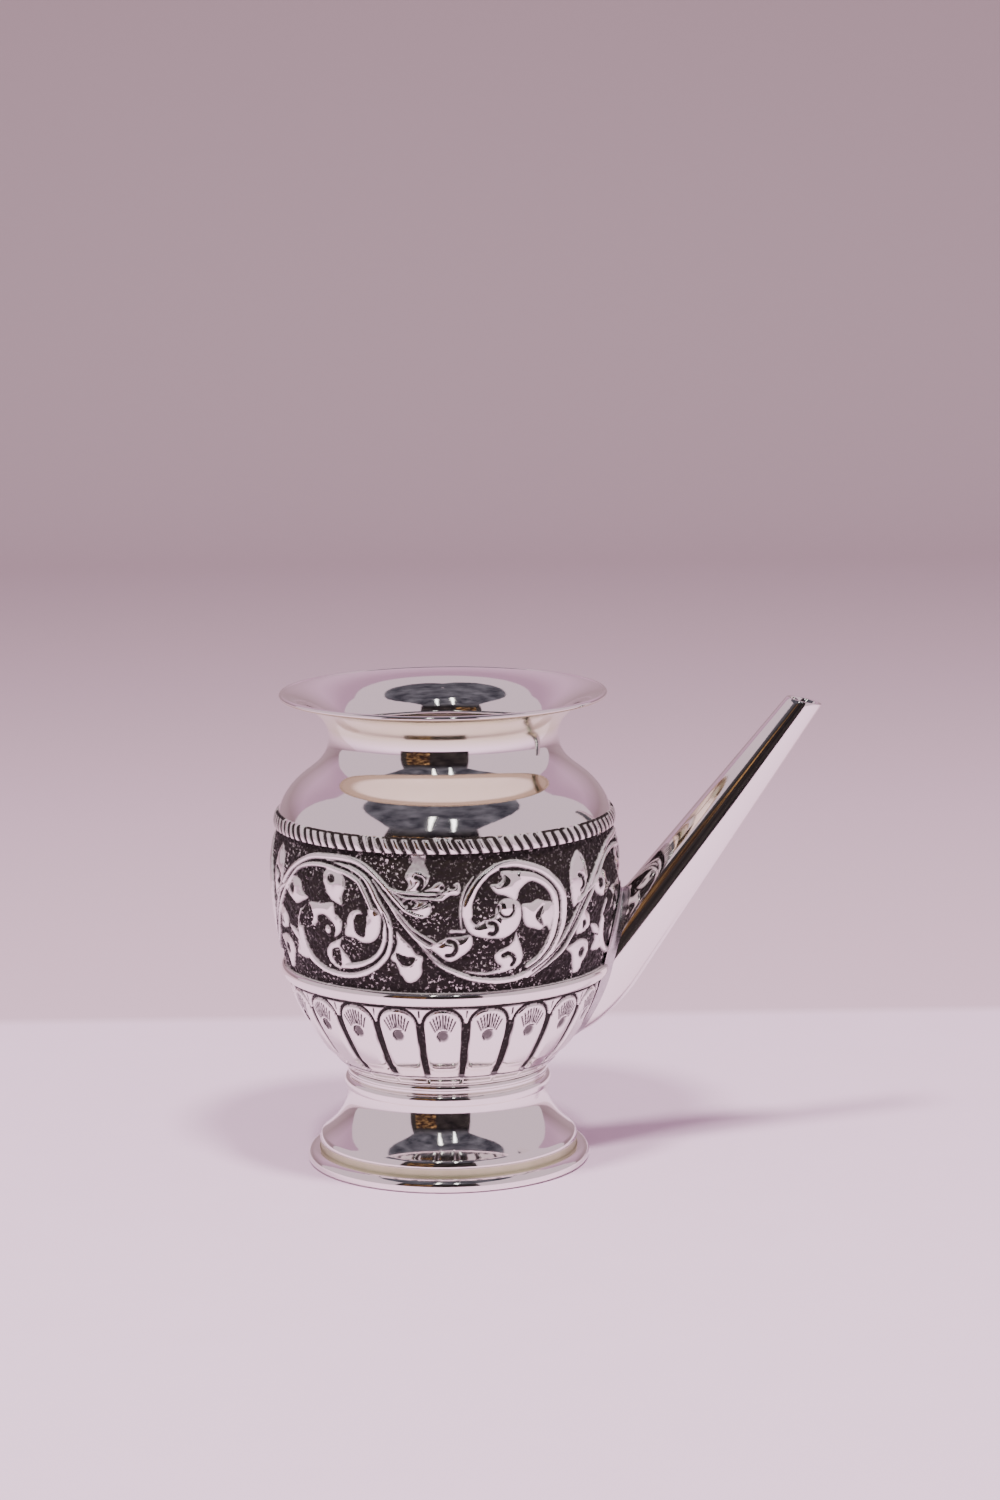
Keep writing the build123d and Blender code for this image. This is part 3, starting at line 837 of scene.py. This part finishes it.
def make_spout():
    turn = np.arange(SPOUT_COLUMNS) * 2 * pi / SPOUT_COLUMNS

    def side(share, inset, sunk):
        """Rows of places from root to mouth, at each share of the way."""
        start, end = leaves_body(turn, LET_IN, inset), meets_mouth(turn, inset, sunk)
        around = np.broadcast_to(turn, (len(share), SPOUT_COLUMNS))
        return spout_point(around, start + (end - start) * share[:, None], inset)

    outer = side(np.linspace(0, 1, SPOUT_ROWS), 0.0, 0.12)
    rim = [spout_point(turn, meets_mouth(turn, inset, sunk), inset)[None]
           for inset, sunk in MOUTH_STEPS]
    bore = side(np.linspace(1, 0, BORE_ROWS), SPOUT_WALL, 0.15)
    points = np.concatenate([outer, *rim, bore])
    quads = grid_quads(len(points), SPOUT_COLUMNS)[:, ::-1]
    made = make_mesh("spout", points.reshape(-1, 3), quads)
    made.data.set_sharp_from_angle(angle=radians(70))
    return made


def unit(v):
    """Each direction at unit length."""
    return v / np.linalg.norm(v, axis=-1)[..., None]


def turned_to(v, way):
    """Each direction v, turned about where it points against its way."""
    return v * np.sign((v * way).sum(1))[:, None]


def make_solder():
    """The fillet of solder round the spout's root, hand run and so a little uneven."""
    turn = np.arange(PLAIN_COLUMNS) * 2 * pi / PLAIN_COLUMNS
    along = leaves_body(turn, 0.0)
    joint = spout_point(turn, along)
    ahead = spout_point(turn, along + 0.05)
    round_it = spout_point(turn + 0.01, along)
    spout_out = unit(np.cross(ahead - joint, round_it - joint))
    spout_out = turned_to(spout_out, joint - ROOT - along[:, None] * RUN)
    rise = np.diff(BODY_LINE, axis=0)
    slope = np.interp(joint[:, 2], BODY_LINE[1:, 1], rise[:, 0] / rise[:, 1])
    flat = unit(joint * (1, 1, 0))
    body_out = unit(flat - slope[:, None] * np.array([0, 0, 1]))
    seam = unit(np.cross(body_out, spout_out))
    up_spout = turned_to(np.cross(seam, spout_out), body_out)
    out_body = turned_to(np.cross(seam, body_out), spout_out)
    rng = np.random.default_rng(3)
    waves = sum(rng.normal(0, 0.05 / k**0.5) * np.sin(k * turn + rng.random() * 6)
                for k in range(2, 12))
    width = (SOLDER_UNDER + SOLDER_OVER * ((1 - np.cos(turn)) / 2) ** 3) * (1 + waves)
    rows = [joint - 0.5 * (spout_out + body_out)]
    for t in np.linspace(0, 1, 9):
        a, b = (1 - t) ** 2, t**2
        lift = 0.16 * sin(pi * t)
        place = joint + (a * width)[:, None] * up_spout + (b * width)[:, None] * out_body
        sink = 0.12 * abs(2 * t - 1) ** 4
        rows.append(place + (lift - sink) * (spout_out * (1 - t) + body_out * t))
    points = np.array(rows)
    quads = grid_quads(len(points), PLAIN_COLUMNS)
    made = make_mesh("solder_fillet", points.reshape(-1, 3), quads)
    made.data.set_sharp_from_angle(angle=radians(60))
    return made


# ---------------------------------------------------------------- finishes
class Level:
    """A socket that ordinary arithmetic works on, by adding Math nodes."""

    def __init__(self, finish, socket):
        self.finish, self.socket = finish, socket

    def math(self, operation, first, second):
        return self.finish.node("ShaderNodeMath", {"operation": operation}, {0: first, 1: second})

    def __add__(self, other):
        return self.math("ADD", self, other)

    __radd__ = __add__

    def __mul__(self, other):
        return self.math("MULTIPLY", self, other)

    __rmul__ = __mul__

    def __sub__(self, other):
        return self.math("SUBTRACT", self, other)

    def __rsub__(self, other):
        return self.math("SUBTRACT", other, self)

    def __truediv__(self, other):
        return self.math("DIVIDE", self, other)

    def __rtruediv__(self, other):
        return self.math("DIVIDE", other, self)


class Finish:
    """A material whose surface is worked out by nodes."""

    def __init__(self, name):
        self.material = bpy.data.materials.new(name)
        self.material.use_nodes = True
        self.tree = self.material.node_tree
        self.shader = self.tree.nodes["Principled BSDF"]

    def node(self, kind, settings=None, values=None, output=0):
        """A node of a kind, its settings put in first and then its sockets."""
        made = self.tree.nodes.new(kind)
        for key, value in (settings or {}).items():
            if key == "stops":
                self.set_stops(made.color_ramp, value)
            else:
                setattr(made, key, value)
        for key, value in (values or {}).items():
            self.feed(made.inputs[key], value)
        return Level(self, made.outputs[output])

    @staticmethod
    def set_stops(color_ramp, stops):
        while len(color_ramp.elements) < len(stops):
            color_ramp.elements.new(1)
        for element, (place, shade) in zip(color_ramp.elements, stops):
            element.position = place
            element.color = (shade, shade, shade, 1)

    def feed(self, socket, value):
        """A number or colour goes on the socket itself, and anything worked out is linked."""
        if isinstance(value, Level):
            self.tree.links.new(value.socket, socket)
        elif isinstance(value, tuple):
            socket.default_value = (*value, 1) if len(socket.default_value) == 4 else value
        else:
            socket.default_value = value

    def surface(self, **values):
        """Feeds the shader's sockets, named with _ for a space."""
        for key, value in values.items():
            self.feed(self.shader.inputs[key.replace("_", " ")], value)
        return self.material

    def glowing(self, colour, strength):
        """A surface that only glows."""
        return self.surface(Base_Color=(0, 0, 0), Roughness=1.0, Emission_Color=colour,
                            Emission_Strength=strength)

    def place(self):
        return self.node("ShaderNodeTexCoord", output="Object")

    def along(self, axis):
        """How far a place is along x (0), y (1) or z (2), in metres."""
        return self.node("ShaderNodeSeparateXYZ", None, {0: self.place()}, axis)

    def noise(self, scale, detail=3, rough=0.5):
        values = {"Vector": self.place(), "Scale": scale, "Detail": detail, "Roughness": rough}
        return self.node("ShaderNodeTexNoise", None, values)

    def hairlines(self):
        """The fine marks that a buffing cloth leaves."""
        return self.noise(900, 5, 0.7)

    def buffed(self, hairlines):
        """A face buffed by hand, not quite true."""
        return self.bump(self.noise(75, 2) + 0.08 * hairlines, 0.12, 0.0004)

    def cells(self, scale):
        return self.node("ShaderNodeTexVoronoi", None, {"Vector": self.place(), "Scale": scale})

    def curve(self, value, *stops):
        return self.node("ShaderNodeValToRGB", {"stops": stops}, {0: value})

    def blend(self, share, first, second):
        """A colour between two, by share."""
        return self.node("ShaderNodeMix", {"data_type": "RGBA"}, {0: share, 6: first, 7: second}, 2)

    def bump(self, height, strength, distance):
        values = {"Height": height, "Strength": strength, "Distance": distance}
        return self.node("ShaderNodeBump", None, values)


BRIGHT = (0.965, 0.94, 0.895)
WARM = (0.9, 0.86, 0.79)
# the colours of the black, which is oxide and also painted shade in the hollows and at the edges of the
# relief
OXIDE_AND_SHADE = (0.005, 0.004, 0.004)
OXIDE_AND_SHADE_BROWN = (0.016, 0.012, 0.009)
# What brings a measure in metres to between 0 and 1, for the square of the mouth's radius, the
# foot's upright skirt, the height on the belly and the height in the room.
RIM_GRADE, SKIRT_GRADE, BELLY_GRADE, ROOM_GRADE = 800, 100, 10, 2
# FADE_FROM is where the table's painted shade, darker with distance, is counted from
FADE_FROM = 0.84  # metres before the pot's axis, where the fading of the table is counted from


def polished_silver():
    """Silver buffed bright by hand: hairlines, a breath of tarnish and a face not quite true."""
    f = Finish("polished_silver")
    tarnish = f.curve(f.noise(70, 4), (0.45, 0), (0.8, 1))
    hairlines = f.hairlines()
    return f.surface(
        Base_Color=f.blend(tarnish * 0.6, BRIGHT, WARM),
        Metallic=1.0,
        Roughness=0.035 + 0.05 * hairlines + 0.05 * tarnish,
        Normal=f.buffed(hairlines),
    )


def mouth_silver():
    """Polished silver whose downward faces are painted pale yellow as a warm reflection, darker olive
    near the rim.
    """
    f = Finish("mouth_silver")
    facing = f.node("ShaderNodeNewGeometry", output="Normal")
    facing = f.node("ShaderNodeSeparateXYZ", None, {0: facing}, 2)
    under = f.curve(facing * 0.5 + 0.5, (0.3, 1), (0.47, 0))
    x, y = f.along(0), f.along(1)
    rim = f.curve((x * x + y * y) * RIM_GRADE, (0.74, 0), (0.79, 1))
    hairlines = f.hairlines()
    # painted warm reflection: pale yellow on the downward faces, darker olive near the rim
    painted_warm_reflection = f.blend(f.noise(120, 4), (0.78, 0.81, 0.6), (0.68, 0.7, 0.48))
    return f.surface(
        Base_Color=f.blend(under, BRIGHT, f.blend(rim, painted_warm_reflection, (0.38, 0.36, 0.22))),
        Metallic=1.0,
        Roughness=0.035 + 0.05 * hairlines + 0.08 * under,
        Normal=f.buffed(hairlines),
    )


def foot_silver():
    """Polished silver whose upright edge has gone yellow and dull inside the ring."""
    f = Finish("foot_silver")
    skirt = f.curve(f.along(2) * SKIRT_GRADE, (0.0, 1), (0.425, 1), (0.49, 0))
    hairlines = f.hairlines()
    patchy = f.noise(240, 4)
    return f.surface(
        Base_Color=f.blend(skirt, BRIGHT, f.blend(patchy, (0.64, 0.63, 0.41), (0.44, 0.42, 0.26))),
        Metallic=1 - 0.35 * skirt,
        Roughness=0.035 + 0.05 * hairlines + skirt * 0.33,
        Normal=f.buffed(hairlines),
    )


def chased_silver(name, matting):
    """Polished where it stands out and blackened where it is cut back, with painted shade in the
    punched hollows and pearls and near the edges of leaves and stems; matting shows in the black.
    """
    f = Finish(name)
    # black is the oxide of the cut-back ground and lines, with painted shade in the punched hollows and
    # pearls and near the edges of leaves and stems
    black = f.node("ShaderNodeAttribute", {"attribute_name": "black"}, None, "Fac")
    low_down = f.curve(f.along(2) * BELLY_GRADE, (0.44, 1), (0.49, 0))
    lit = f.curve(f.noise(160, 3) + 0.09 * low_down, (0.5, 0.1), (0.68, 0.85))
    specks = f.curve(f.noise(1500, 3, 0.6), (0.57, 0), (0.66, 1))
    worn = specks * lit * matting
    # where the black shows, oxide and painted shade alike, less the worn specks
    oxide_and_painted_shade = black * (1 - worn)
    hairlines = f.hairlines()
    tarnish = f.curve(f.noise(90, 4), (0.5, 0), (0.85, 1))
    bright = f.blend(tarnish * 0.5, BRIGHT, WARM)
    oxide_and_shade_colour = f.blend(f.noise(300, 4), OXIDE_AND_SHADE, OXIDE_AND_SHADE_BROWN)
    pits = f.cells(1350) * black
    return f.surface(
        Base_Color=f.blend(oxide_and_painted_shade, bright, oxide_and_shade_colour),
        Metallic=1 - oxide_and_painted_shade,
        Specular_IOR_Level=0.22,
        Roughness=0.05 + 0.05 * hairlines + 0.4 * oxide_and_painted_shade + 0.1 * black,
        Normal=f.bump(pits + 0.05 * hairlines + 0.4 * f.noise(110, 2), 0.35, 0.0003),
    )


def dull_solder():
    """Solder scraped and rubbed down, greyer than the sheet."""
    f = Finish("silver_solder")
    streaks = f.noise(420, 5, 0.65)
    return f.surface(
        Base_Color=f.blend(streaks, (0.72, 0.7, 0.69), (0.34, 0.33, 0.33)),
        Metallic=1.0,
        Roughness=0.16 + 0.18 * streaks,
        Normal=f.bump(streaks, 0.2, 0.0003),
    )


def plain_cloth(name, near, far, farthest, edge):
    """A pale matt table whose tone changes past an edge across it; behind the edge, painted shade
    darkens it with distance, and painted light makes it paler up the cove.
    """
    f = Finish(name)
    across = f.along(1)
    beyond = f.curve(across + (0.5 - edge), (0.499, 0), (0.501, 1))
    # painted shade: darker with distance behind the pot
    painted_far_shade = f.curve(1 / (across + FADE_FROM), (0.42, 1), (0.82, 0))
    # painted light: paler higher up the cove
    painted_high_light = f.curve(f.along(2), (0.28, 0), (0.8, 1))
    front = f.blend(f.noise(60, 5), near, tuple(0.96 * c for c in near))
    behind = f.blend(painted_high_light, f.blend(painted_far_shade, far, farthest), near)
    return f.surface(
        Base_Color=f.blend(beyond, front, behind),
        Roughness=0.75,
        Normal=f.bump(f.noise(900, 4), 0.08, 0.0003),
    )


def glow(name, colour, strength):
    """A plain bright lamp."""
    f = Finish(name)
    return f.glowing(colour, strength)


def dark_room():
    """A painted reflection of the dark room, on a sheet that glows: brown near the floor and blue-grey
    higher up.
    """
    f = Finish("dark_room")
    high = f.curve(f.along(2) * ROOM_GRADE, (0.58, 0), (0.86, 1))
    shades = f.curve(f.noise(9, 4, 0.6), (0.35, 0), (0.7, 1))
    low_colour = f.blend(shades, (0.004, 0.003, 0.004), (0.045, 0.036, 0.034))
    high_colour = f.blend(shades, (0.035, 0.033, 0.048), (0.19, 0.175, 0.215))
    return f.glowing(f.blend(high, low_colour, high_colour), 1.0)


def warm_doorway():
    """Painted warm glints on a sheet that glows, standing for warm lit objects seen far back in the
    room.
    """
    f = Finish("warm_doorway")
    painted_warm_glints = f.curve(f.noise(26, 5, 0.8), (0.48, 0), (0.6, 0.3), (0.7, 1))
    return f.glowing(f.blend(painted_warm_glints, (0.02, 0.008, 0.006), (0.95, 0.5, 0.2)), 1.1)


# ---------------------------------------------------------------- put together
def fit(piece, node, material):
    piece.data.materials.append(material)
    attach(piece, "root")
    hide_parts(node)


POLISHED = polished_silver()
MOUTH = mouth_silver()
MATTED = chased_silver("matted_silver", 1.0)
LINED = chased_silver("lined_silver", 0.12)
fit(make_ring(), "foot_ring", POLISHED)
fit(make_foot(), "foot_shell", foot_silver())
fit(make_collar(), "foot_collar", POLISHED)
fit(make_bowl(), "bowl", LINED)
fit(make_belly(), "belly_band", MATTED)
fit(make_border(), "border_wire", LINED)
fit(make_belt(), "belt_wire", POLISHED)
fit(make_neck(), "neck_shell", MOUTH)
fit(make_lip(), "lip_wire", MOUTH)
fit(make_spout(), "spout_tube", POLISHED)
fit(make_solder(), "spout_solder", dull_solder())

# ---------------------------------------------------------------- studio
TABLE_EDGE = 0.126  # metres behind the pot's axis
TABLE_NEAR = (0.67, 0.505, 0.63)
# the tones behind the table's edge, the second darker: painted shade
TABLE_FAR, TABLE_FARTHEST = (0.505, 0.37, 0.435), (0.365, 0.295, 0.305)
TABLE_FRONT, TABLE_HALF = -1500, 1900
COVE_START, COVE_RADIUS, COVE_TOP = 1000, 300, 2200
HOOD_ROWS = 28
HOOD_FOOT = 3  # the hood starts this far over the table
HOOD_STRETCH = 0.7  # and is this much farther off overhead
LIGHT_SIZE, LIGHT_POWER, LIGHT_TINT = 0.14, 13, (1, 0.92, 0.95)
AIR_TINT, AIR_STRENGTH = (0.7, 0.525, 0.63, 1), 1.22


def make_table():
    """A pale table that rises in a cove a long way behind the pot."""
    t = np.linspace(0, pi / 2, 16)
    back, up = COVE_START + COVE_RADIUS * np.sin(t), COVE_RADIUS - COVE_RADIUS * np.cos(t)
    wall_top = (COVE_START + COVE_RADIUS, COVE_TOP)
    line = np.vstack([[(TABLE_FRONT, 0), (0, 0)], np.column_stack([back, up]), [wall_top]])
    across = np.linspace(-TABLE_HALF, TABLE_HALF, 3)
    points = np.array([[(x, y, z) for x in across] for y, z in line])
    quads = grid_quads(len(line), 3, closed_rows=False, closed_columns=False)
    made = make_mesh("table", points.reshape(-1, 3), quads)
    made.data.materials.append(
        plain_cloth("table_paper", TABLE_NEAR, TABLE_FAR, TABLE_FARTHEST, TABLE_EDGE)
    )


def make_hood(name, profile, distance, material):
    """Part of a dark hood over the front of the pot, which only its reflections show.

    profile lists (height angle, left turn, right turn) from the foot of the part to its top."""
    rise, left, right = np.array(profile, float).T
    points = []
    for up in np.linspace(rise[0], rise[-1], HOOD_ROWS):
        reach = distance * (1 + HOOD_STRETCH * sin(radians(up)))
        across, height = reach * cos(radians(up)), HOOD_FOOT + reach * sin(radians(up))
        sides = np.interp(up, rise, left), np.interp(up, rise, right)
        for turn in np.radians(np.linspace(*sides, HOOD_ROWS)):
            points.append((across * sin(turn), -across * cos(turn), height))
    quads = grid_quads(HOOD_ROWS, HOOD_ROWS, closed_rows=False, closed_columns=False)
    made = make_mesh(name, points, quads)
    made.data.materials.append(material)
    made.visible_camera = False
    made.visible_shadow = False
    made.visible_diffuse = False


def add_light(name, place):
    """A soft round light, aimed at the foot of the pot, that the silver doesn't reflect."""
    light = bpy.data.lights.new(name, "AREA")
    light.shape = "DISK"
    light.size, light.energy, light.color = LIGHT_SIZE, LIGHT_POWER, LIGHT_TINT
    holder = bpy.data.objects.new(name, light)
    bpy.context.scene.collection.objects.link(holder)
    holder.location = place
    holder.rotation_mode = "QUATERNION"
    holder.rotation_quaternion = Vector(place).to_track_quat("Z", "Y")
    holder.visible_glossy = False


make_table()
ROOM = [(0, -42, 24), (40, -42, 24), (48, -56, 40), (56, -88, 76), (64, -112, 102), (72, -145, 135),
        (79, -180, 180), (89.5, -180, 180)]
DOORWAY = [(2, -36, -14), (30, -36, -14)]
LEFT_LAMP = [(40, -11.6, -10.4), (62, -14.5, -9.5)]
RIGHT_LAMP = [(38, 5.6, 6.8), (58, 6.4, 10.4)]
make_hood("room", ROOM, 400, dark_room())
make_hood("doorway", DOORWAY, 392, warm_doorway())
make_hood("lamp_left", LEFT_LAMP, 385, glow("lamp_white", (1, 0.98, 0.95), 5))
make_hood("lamp_right", RIGHT_LAMP, 385, glow("lamp_cool", (0.97, 0.98, 1), 5))
add_light("left_light", (-0.19, -0.38, 1.0))
add_light("right_light", (0.17, -0.3, 1.02))

world = bpy.data.worlds.new("pale_room")
world.use_nodes = True
air = world.node_tree.nodes["Background"]
air.inputs["Color"].default_value = AIR_TINT
air.inputs["Strength"].default_value = AIR_STRENGTH
bpy.context.scene.world = world

# ---------------------------------------------------------------- camera
CAMERA_PLACE = (0, -0.84125, 0.23297)
CAMERA_DOWN, CAMERA_TURN, CAMERA_ROLL = 9.83, -0.8, -0.6
camera_data = bpy.data.cameras.new("camera")
camera_data.lens = 98.18
camera_data.sensor_width = 36
camera_data.clip_start, camera_data.clip_end = 0.05, 20
camera = bpy.data.objects.new("camera", camera_data)
bpy.context.scene.collection.objects.link(camera)
camera.matrix_world = (
    Matrix.Translation(CAMERA_PLACE)
    @ Matrix.Rotation(radians(CAMERA_TURN), 4, "Z")
    @ Matrix.Rotation(radians(90 - CAMERA_DOWN), 4, "X")
    @ Matrix.Rotation(radians(CAMERA_ROLL), 4, "Z")
)
bpy.context.scene.camera = camera
